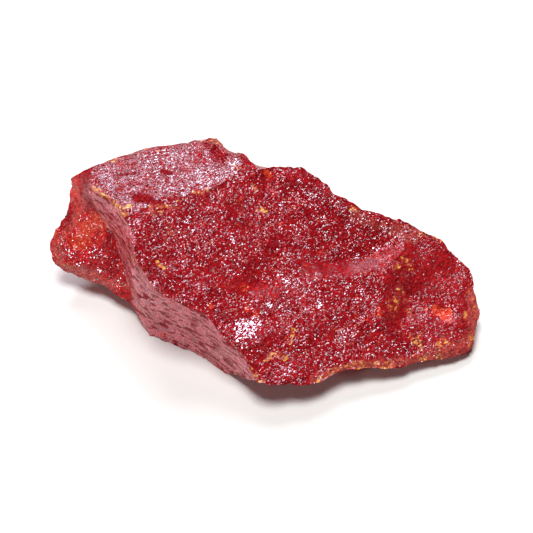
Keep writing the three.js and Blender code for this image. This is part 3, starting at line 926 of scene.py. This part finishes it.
    def _mirror(self) -> bpy.types.Node:
        """Fresh cleavages mirror fully and the filmed ones between them hardly.

        Returns:
            The specular level, where 0.5 is a clean surface.
        """
        finish, marks = self.finish, self.marks
        glint = self.add("MapRange", (self.dust.third, *WHOLE, *finish.glint_mirror))
        veil = self.add("MapRange", (self.grain.second, *WHOLE, *finish.veil_mirror))
        hollow = self.add("MapRange", (marks[Mark.SHADED_HOLLOW], *WHOLE, *finish.hollow_gain))
        grains = (marks[Mark.FRESH_AND_PAINTED_LIGHT], self._cleavages(), self._fresh_cleavages())
        level = self.add("Mix", grains)
        level = self.add("Math", (self.glints, glint, level), operation="MULTIPLY_ADD")
        level = self.add("Math", (marks[Mark.SHEEN], veil, level), operation="MULTIPLY_ADD")
        level = self.add("Math", (level, hollow), operation="MULTIPLY")
        level = self.add("Mix", (marks[Mark.POLISH], level, finish.polish_mirror))
        return self.add("Mix", (marks[Mark.SILK], level, self._silk_mirror()))

    def _cleavages(self) -> bpy.types.Node:
        """How well the plain grains mirror, more in some rows and clouds than in others.

        Returns:
            Their specular level.
        """
        finish = self.finish
        rows = self._soft_clouds(self.strokes, finish.rows, finish.streak_detail)
        draw = self.add("Math", (self.grain.second, self.dust.second), operation="MULTIPLY")
        level = self.add("MapRange", (draw, *finish.bare, *finish.cleavage_mirror))
        for pattern, levels, gains in (
            (rows, finish.row_levels, finish.row_gain),
            (self.clouds, finish.cloud_levels, finish.cloud_gain),
        ):
            gain = self.add("MapRange", (pattern, *levels, *gains))
            level = self.add("Math", (level, gain), operation="MULTIPLY")
        return level

    def _fresh_cleavages(self) -> bpy.types.Node:
        """How well the coarser grains of a fresh break mirror."""
        draw = self.add("Math", (self.nugget.third, self.grain.second), operation="MULTIPLY")
        return self.add("MapRange", (draw, *self.finish.fresh_bare, *self.finish.fresh_mirror))

    def _silk_mirror(self) -> bpy.types.Node:
        """How well the flank mirrors, which is hardly at all in its tears.

        Returns:
            Its specular level.
        """
        gain = self.add("MapRange", (self.tears, *WHOLE, *self.finish.tear_gain))
        level = self.add("MapRange", (self.grain.second, *WHOLE, *self.finish.silk_mirror))
        return self.add("Math", (gain, level), operation="MULTIPLY")

    def _roughness(self) -> bpy.types.Node:
        """Cleavages are bright, the smooth skins resinous and the crust dull.

        Returns:
            The roughness.
        """
        finish = self.finish
        rough = self.add("MapRange", (self.grain.third, *WHOLE, *finish.cleavage_roughness))
        for mark, more in (
            (Mark.POLISH, finish.polish_roughness),
            (Mark.SILK, finish.silk_roughness),
            (Mark.CRUST, finish.crust_roughness),
        ):
            rough = self.add("Math", (self.marks[mark], more, rough), operation="MULTIPLY_ADD")
        return rough

    def _normal(self) -> bpy.types.Node:
        """Tilts each grain its own way, less where the skin is smooth, and turns glints.

        Returns:
            The surface's direction.
        """
        finish, marks = self.finish, self.marks
        loose = 1.0
        for mark, calm in ((Mark.POLISH, finish.polish_calm), (Mark.SILK, finish.silk_calm)):
            kept = self.add("Math", (marks[mark], calm, 1.0), operation="MULTIPLY_ADD")
            loose = self.add("Math", (loose, kept), operation="MULTIPLY")
        total = self.add("NewGeometry").outputs["Normal"]
        for cells, tilt in ((self.grain, finish.grain_tilt), (self.dust, finish.dust_tilt)):
            draws = self.add("CombineXYZ", cells)
            centred = self.add("VectorMath", (draws, MIDDLE), operation="SUBTRACT")
            amount = self.add("Math", (loose, tilt), operation="MULTIPLY")
            tilted = self.add("VectorMath", (centred, amount), operation="SCALE")
            total = self.add("VectorMath", (total, tilted), operation="ADD")
        aims = (marks[Mark.FRESH_AND_PAINTED_LIGHT], finish.window_aim, finish.ceiling_aim)
        aim = self.add("Mix", aims, data_type="VECTOR")
        turned = self.add("VectorMath", (aim, self.glints), operation="SCALE")
        total = self.add("VectorMath", (total, turned), operation="ADD")
        return self.add("VectorMath", (total,), operation="NORMALIZE")


@dataclass(frozen=True)
class TableTopFinish:
    """A matt white board, so bright that it shows only the stone's shadow."""

    colour: str = "#F7F6F3"
    roughness: float = 0.9
    mirror: float = 0.2

    def make(self) -> bpy.types.Material:
        """Builds the material.

        Returns:
            The material.
        """
        material = bpy.data.materials.new("matt_white_board")
        material.use_nodes = True
        tree = material.node_tree
        tree.nodes.clear()
        surface = {
            "Base Color": linear(self.colour),
            "Roughness": self.roughness,
            "Specular IOR Level": self.mirror,
        }
        add(tree, "OutputMaterial", {"Surface": add(tree, "BsdfPrincipled", surface)})
        return material


# ---------------------------------------------------------------------------------------------
# The lump


@dataclass
class Lump:
    """The broken lump: a refined copy of the solid, with the relief of its fractures."""

    node: str = "realgar_lump"
    weld: float = 0.001  # points closer than this are one, mm
    levels: int = 2  # of subdivision
    block: int = 4096  # points measured at a time
    arris_angle: float = math.radians(36.0)  # a sharper edge stays sharp
    arris_core: float = 0.1  # how near an arris the stone is fully chipped, mm
    arris_reach: float = 0.9  # how far from an arris it is chipped, mm

    # Faces
    crown_normal: tuple[float, float, float] = (0.0, 0.085, 0.996)
    crown_cosines: Span = Span(0.82, 0.97)  # where a point starts to belong, and fully does
    flank_normal: tuple[float, float, float] = (-0.704, -0.710, 0.027)
    flank_cosines: Span = Span(0.2, 0.5)
    far_slopes: Span = Span(0.2, 0.5)  # how far a normal leans to the back on the far side
    outline_wander: float = 1.5  # of the faces' outlines, pixels
    outline_lump: float = 0.6  # and the width of its waves, mm
    edge_lump: float = 0.8  # the width of the waves on a patch's edge, mm
    overtone: float = 0.5  # the height of finer waves beside the broad ones they lie on

    # Relief
    grain_size: Size = (1.1, 0.5, 0.5)
    grain_height: float = 0.032
    fine_grain_size: Size = (0.45, 0.45, 0.45)
    fine_grain_height: float = 0.016
    hackle_stretch: Size = (2.0, 1.0, 1.0)
    hackle_width: float = 1.5
    hackle_height: float = 0.045
    hackle_depth: float = 0.03
    chip_width: float = 0.9
    chip_depth: float = 0.25
    ripple_width: float = 1.1
    fine_ripple_width: float = 0.5
    ripple_height: float = 0.035
    ripple_squeeze: float = 3.0  # how much closer the ripples lie up the flank
    wander_width: float = 0.7
    wander_height: float = 0.16
    wander_reach: float = 0.8  # how far from an arris the skin wanders, mm
    silk_calm: float = 0.92  # how much of the relief the flank loses
    polish_calm: float = 0.5
    smooth_silk: float = 0.5  # the silk above which a face is shaded smoothly
    rest_height: float = 0.02  # points below this that face down lie on the table top, mm
    rest_slope: float = -0.9
    clearance: float = 0.05  # of all others, mm

    # Weathering
    veil_gap_stretch: Size = (2.0, 1.0, 1.0)
    veil_gap_width: float = 0.9
    veil_gap_levels: Span = Span(0.35, 0.6)
    veil_gap_depth: float = 0.7
    crown_glint: float = 0.55
    gap_glint: float = 0.5  # how much of that a gap loses
    crust_width: float = 2.2  # clouds of crust along the arrises, mm
    fine_crust_width: float = 0.6
    crust_levels: Span = Span(0.45, 0.8)
    crust_band: Span = Span(0.15, 0.7)  # from full to none, mm from an arris
    arris_crust: float = 0.6
    far_width: float = 1.8  # clouds of crust and ember on the far side, mm
    far_levels: Span = Span(0.5, 0.8)
    far_strength: float = 0.4

    places: np.ndarray = field(init=False)
    normals: np.ndarray = field(init=False)
    arris_points: np.ndarray = field(init=False)
    arris_distance: np.ndarray = field(init=False)
    marks: dict[Mark, np.ndarray] = field(init=False)

    def build(self, view: MainView, finish: RealgarFinish) -> bpy.types.Object:
        """Makes the piece.

        Args:
            view: The view that the patches are placed in.
            finish: The stone's material.

        Returns:
            The finished object.
        """
        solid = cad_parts[self.node]
        mesh = self._refine(solid)
        self._read(mesh)
        self.marks = {mark: np.zeros(len(mesh.vertices)) for mark in Mark}
        self._mark_patches(view, solid)
        self._mark_faces(view)
        self._mark_weathering()
        self._write_marks(mesh)
        self._carve(mesh, finish.stroke_heading)
        self._smooth_flank(mesh)
        mesh.materials.clear()
        mesh.materials.append(finish.make())
        piece = bpy.data.objects.new("realgar_lump_surface", mesh)
        bpy.context.scene.collection.objects.link(piece)
        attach(piece, "root")
        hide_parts(self.node)
        return piece

    def _refine(self, solid: bpy.types.Object) -> bpy.types.Mesh:
        """Subdivides a copy of the solid, with its arrises creased.

        Args:
            solid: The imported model's own object, which isn't changed.

        Returns:
            A triangle mesh.
        """
        coarse = self._creased(solid)
        carrier = bpy.data.objects.new("coarse", coarse)
        bpy.context.scene.collection.objects.link(carrier)
        subdivision = carrier.modifiers.new("refine", "SUBSURF")
        subdivision.levels = subdivision.render_levels = self.levels
        carrier.modifiers.new("triangles", "TRIANGULATE")
        evaluated = carrier.evaluated_get(bpy.context.evaluated_depsgraph_get())
        mesh = bpy.data.meshes.new_from_object(evaluated)
        mesh.name = "realgar_lump_surface"
        bpy.data.objects.remove(carrier)
        bpy.data.meshes.remove(coarse)
        return mesh

    def _creased(self, solid: bpy.types.Object) -> bpy.types.Mesh:
        """Copies the solid's mesh, creases its arrises and keeps where they are.

        Args:
            solid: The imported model's own object.

        Returns:
            The copy.
        """
        bm = bmesh.new()
        bm.from_mesh(solid.data)
        bmesh.ops.remove_doubles(bm, verts=bm.verts, dist=self.weld * MM)
        crease = bm.edges.layers.float.new("crease_edge")
        arrises = [e for e in bm.edges if e.is_convex and e.calc_face_angle() > self.arris_angle]
        for edge in arrises:
            edge[crease] = 1.0
        middles = [np.mean([corner.co for corner in edge.verts], axis=0) for edge in arrises]
        self.arris_points = np.array(middles) / MM
        coarse = bpy.data.meshes.new("coarse")
        bm.to_mesh(coarse)
        bm.free()
        return coarse

    def _read(self, mesh: bpy.types.Mesh) -> None:
        """Reads the refined mesh's points, broad normals and distances from the arrises.

        Args:
            mesh: The refined mesh.
        """
        count = len(mesh.vertices)
        places = np.empty(count * 3)
        mesh.vertices.foreach_get("co", places)
        self.places = places.reshape(-1, 3) / MM
        normals = np.empty(count * 3)
        mesh.vertex_normals.foreach_get("vector", normals)
        self.normals = normals.reshape(-1, 3)
        distance = np.full(count, np.inf)
        for start in range(0, count, self.block):
            some = slice(start, start + self.block)
            away = self.places[some, None, :] - self.arris_points[None, :, :]
            distance[some] = np.sqrt((away**2).sum(axis=2).min(axis=1))
        self.arris_distance = distance

    def _facing(self, direction: tuple[float, float, float], cosines: Span) -> np.ndarray:
        """How far each point faces a direction, 0 at the low cosine to it and 1 at the high one."""
        unit = np.array(direction) / np.linalg.norm(direction)
        return ramp(self.normals @ unit, *cosines)

    def _distance_to(self, line: list[np.ndarray]) -> np.ndarray:
        """Measures how far each point is from a line.

        Args:
            line: The line's one or more points, in millimetres.

        Returns:
            Distances in millimetres.
        """
        nearest = np.linalg.norm(self.places - line[0], axis=1)
        for start, end in zip(line, line[1:]):
            run = end - start
            share = np.clip((self.places - start) @ run / (run @ run), 0, 1)
            foot = start + share[:, None] * run
            nearest = np.minimum(nearest, np.linalg.norm(self.places - foot, axis=1))
        return nearest

    def _raise(self, mark: Mark, cover: np.ndarray) -> None:
        """Raises a mark to a cover, where that is more."""
        self.marks[mark] = np.maximum(self.marks[mark], cover)

    def _mark_patches(self, view: MainView, solid: bpy.types.Object) -> None:
        """Marks the patches, whose pixels are cast at the solid.

        Args:
            view: The view that the pixels are in.
            solid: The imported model's own object.
        """
        patches = [(mark, patch) for mark, group in PATCHES.items() for patch in group]
        for number, (mark, patch) in enumerate(patches):
            distance = self._distance_to([view.place(pixel, solid) for pixel in patch.pixels])
            waves = lumps(self.places, self.edge_lump, Seed.PATCHES + number)
            distance += patch.ragged * patch.radius * waves
            cover = ramp(-distance, -patch.radius, -patch.core * patch.radius)
            self._raise(mark, patch.strength * cover)
            log.debug("%s: %s", mark.value, patch.name)

    def _mark_faces(self, view: MainView) -> None:
        """Marks the silky flank, and the crown with its veil and its gaps.

        Args:
            view: The view that the outlines are in.
        """
        waves = lumps(self.places, self.outline_lump, Seed.OUTLINES)
        seen = view.project(self.places) + self.outline_wander * waves[:, None]
        steep = self._facing(self.flank_normal, self.flank_cosines)
        self._raise(Mark.SILK, steep * inside(seen, FLANK_OUTLINE))
        level = self._facing(self.crown_normal, self.crown_cosines) * inside(seen, CROWN_OUTLINE)
        level *= 1 - self.marks[Mark.SHADED_HOLLOW]  # the veil is off where a grain has broken out
        stretched = self.places / self.veil_gap_stretch
        clouds = lumps(stretched, self.veil_gap_width, Seed.VEIL_GAPS)
        gaps = ramp(clouds, *self.veil_gap_levels)
        self._raise(Mark.SHEEN, level * (1 - self.veil_gap_depth * gaps))
        self._raise(Mark.GLINT, self.crown_glint * level * (1 - self.gap_glint * gaps))

    def _mark_weathering(self) -> None:
        """Crusts the arrises in clouds, and scatters crust and ember over the far side."""
        broad = lumps(self.places, self.crust_width, Seed.CRUST)
        fine = lumps(self.places, self.fine_crust_width, Seed.FINE_CRUST)
        crusted = ramp(broad + self.overtone * fine, *self.crust_levels)
        edge = 1 - ramp(self.arris_distance, *self.crust_band)
        self._raise(Mark.CRUST, self.arris_crust * crusted * edge)
        far = ramp(self.normals[:, 1], *self.far_slopes)
        for mark, seed in ((Mark.CRUST, Seed.FAR_CRUST), (Mark.EMBER, Seed.FAR_EMBER)):
            clouds = ramp(lumps(self.places, self.far_width, seed), *self.far_levels)
            self._raise(mark, self.far_strength * far * clouds)

    def _write_marks(self, mesh: bpy.types.Mesh) -> None:
        """Writes each mark on the mesh as a layer of its own.

        Args:
            mesh: The refined mesh.
        """
        for mark, values in self.marks.items():
            layer = mesh.attributes.new(mark.value, "FLOAT", "POINT")
            layer.data.foreach_set("value", values)

    def _carve(self, mesh: bpy.types.Mesh, stroke_heading: float) -> None:
        """Moves the points out and in by the relief, within the solid's own box.

        Args:
            mesh: The refined mesh.
            stroke_heading: Of the cleavage strokes, radians from +X.
        """
        places = self.places
        rests = (places[:, 2] < self.rest_height) & (self.normals[:, 2] < self.rest_slope)
        height = np.where(rests, 0.0, self._relief(stroke_heading))
        wander = np.where(rests[:, None], 0.0, self._wander())
        moved = places + self.normals * height[:, None] + wander
        low, high = [np.array(corner) / MM for corner in CAD_BOX]
        moved = np.clip(moved, low, high)
        moved[:, 2] = np.where(rests, places[:, 2], np.maximum(moved[:, 2], self.clearance))
        self.places = moved
        mesh.vertices.foreach_set("co", (moved * MM).ravel())
        mesh.update()

    def _relief(self, stroke_heading: float) -> np.ndarray:
        """Tilted grains and hackles along the strokes, chips on the arrises, flank ripples.

        Args:
            stroke_heading: Of the cleavage strokes, radians from +X.

        Returns:
            A height in millimetres for each point.
        """
        x, y, z = self.places.T
        cosine, sine = math.cos(stroke_heading), math.sin(stroke_heading)
        along, across = x * cosine + y * sine, y * cosine - x * sine
        turned = np.stack([along, across, z], axis=1)
        flow = np.stack([along - across, z * self.ripple_squeeze, across], axis=1)

        height = self.grain_height * facets(turned, self.grain_size, Seed.GRAINS)
        fine = facets(turned[:, [1, 2, 0]], self.fine_grain_size, Seed.FINE_GRAINS)
        height += self.fine_grain_height * fine
        waves = lumps(turned / self.hackle_stretch, self.hackle_width, Seed.HACKLES)
        height += self.hackle_height * (1 - np.abs(waves)) - self.hackle_depth

        silk, polish = self.marks[Mark.SILK], self.marks[Mark.POLISH]
        height *= (1 - self.silk_calm * silk) * (1 - self.polish_calm * polish)
        height *= 1 + self.marks[Mark.FRESH_AND_PAINTED_LIGHT]
        chipped = 1 - ramp(self.arris_distance, self.arris_core, self.arris_reach)
        chips = np.maximum(0, lumps(self.places, self.chip_width, Seed.CHIPS)) * chipped
        ripples = lumps(flow, self.ripple_width, Seed.RIPPLES)
        ripples += self.overtone * lumps(flow, self.fine_ripple_width, Seed.FINE_RIPPLES)
        return height - self.chip_depth * chips + self.ripple_height * silk * ripples

    def _wander(self) -> np.ndarray:
        """Sideways moves that make the arrises ragged.

        Returns:
            Moves in millimetres, N by 3.
        """
        seeds = [Seed.WANDER + axis for axis in range(3)]
        waves = [lumps(self.places, self.wander_width, seed) for seed in seeds]
        near = 1 - ramp(self.arris_distance, self.arris_core, self.wander_reach)
        return np.stack(waves, axis=1) * (self.wander_height * near)[:, None]

    def _smooth_flank(self, mesh: bpy.types.Mesh) -> None:
        """Shades the flank smoothly and leaves every other face flat.

        Args:
            mesh: The refined mesh, all of triangles.
        """
        corners = np.empty(len(mesh.loops), dtype=np.int32)
        mesh.loops.foreach_get("vertex_index", corners)
        silk = self.marks[Mark.SILK][corners.reshape(-1, 3)].mean(axis=1)
        mesh.polygons.foreach_set("use_smooth", silk > self.smooth_silk)


# ---------------------------------------------------------------------------------------------
# The studio


@dataclass(frozen=True)
class SoftBox:
    """A square lamp that points at the stone."""

    name: str
    heading: float  # of the lamp as seen from the stone, degrees from +X
    elevation: float  # degrees
    distance: float  # m
    size: float  # m
    radiance: float  # W per square metre and steradian
    tint: str = "#FFFFFF"

    def make(self) -> bpy.types.Object:
        """Adds the lamp.

        Returns:
            The lamp object.
        """
        data = bpy.data.lights.new(self.name, "AREA")
        data.shape = "SQUARE"
        data.size = self.size
        data.energy = self.radiance * math.pi * self.size**2
        data.color = linear(self.tint)[:3]
        lamp = bpy.data.objects.new(self.name, data)
        heading, elevation = math.radians(self.heading), math.radians(self.elevation)
        level = math.cos(elevation)
        toward = Vector(
            (math.cos(heading) * level, math.sin(heading) * level, math.sin(elevation))
        )
        lamp.location = toward * self.distance
        lamp.rotation_euler = (-toward).to_track_quat("-Z", "Y").to_euler()
        bpy.context.scene.collection.objects.link(lamp)
        return lamp


WINDOW = SoftBox("window", 97.0, 46.0, distance=0.7, size=0.30, radiance=11.0, tint="#F6F6FF")
FILL = SoftBox("fill", 215.0, 28.0, distance=0.9, size=0.12, radiance=18.0)
CEILING = SoftBox("ceiling", 150.0, 86.0, distance=0.9, size=0.34, radiance=19.8)


@dataclass
class Studio:
    """A white table top under soft light, with a window behind it."""

    floor_size: float = 4.0  # m
    lamps: tuple[SoftBox, ...] = (WINDOW, FILL, CEILING)
    sky_front: float = 0.01  # brightness of the room behind the camera
    sky_back: float = 0.03  # and of the room behind the stone
    sky_reach: float = 0.8  # how far to the front and back it changes

    def build(self) -> None:
        """Makes the table top, the lamps and the room's light."""
        self._lay_table_top()
        for lamp in self.lamps:
            lamp.make()
        self._light_room()
        bpy.context.scene.view_settings.view_transform = "Standard"

    def _lay_table_top(self) -> None:
        """Lays the white board that the stone rests on."""
        half = self.floor_size / 2
        corners = [(-half, -half, 0), (half, -half, 0), (half, half, 0), (-half, half, 0)]
        mesh = bpy.data.meshes.new("table_top")
        mesh.from_pydata(corners, [], [(0, 1, 2, 3)])
        mesh.materials.append(TableTopFinish().make())
        table_top = bpy.data.objects.new("table_top", mesh)
        bpy.context.scene.collection.objects.link(table_top)

    def _light_room(self) -> None:
        """Fills the room with grey light, brighter behind the stone."""
        world = bpy.data.worlds.new("room")
        world.use_nodes = True
        tree = world.node_tree
        tree.nodes.clear()
        ray = add(tree, "SeparateXYZ", (add(tree, "TexCoord").outputs["Generated"],))
        ends = (-self.sky_reach, self.sky_reach, self.sky_front, self.sky_back)
        level = add(tree, "MapRange", (ray.outputs["Y"], *ends))
        background = add(tree, "Background", {"Strength": level})
        add(tree, "OutputWorld", {"Surface": background})
        bpy.context.scene.world = world


def main() -> None:
    """Builds the scene in order and reports each piece."""
    logging.basicConfig(level=logging.INFO, format="%(name)s: %(message)s")
    view = MainView()
    studio = Studio()
    view.make_camera()
    studio.build()
    log.info("studio: %d lamps over a table top", len(studio.lamps))
    lump = Lump().build(view, RealgarFinish())
    log.info("%s: %d triangles", lump.name, len(lump.data.polygons))


if __name__ == "__main__":
    main()
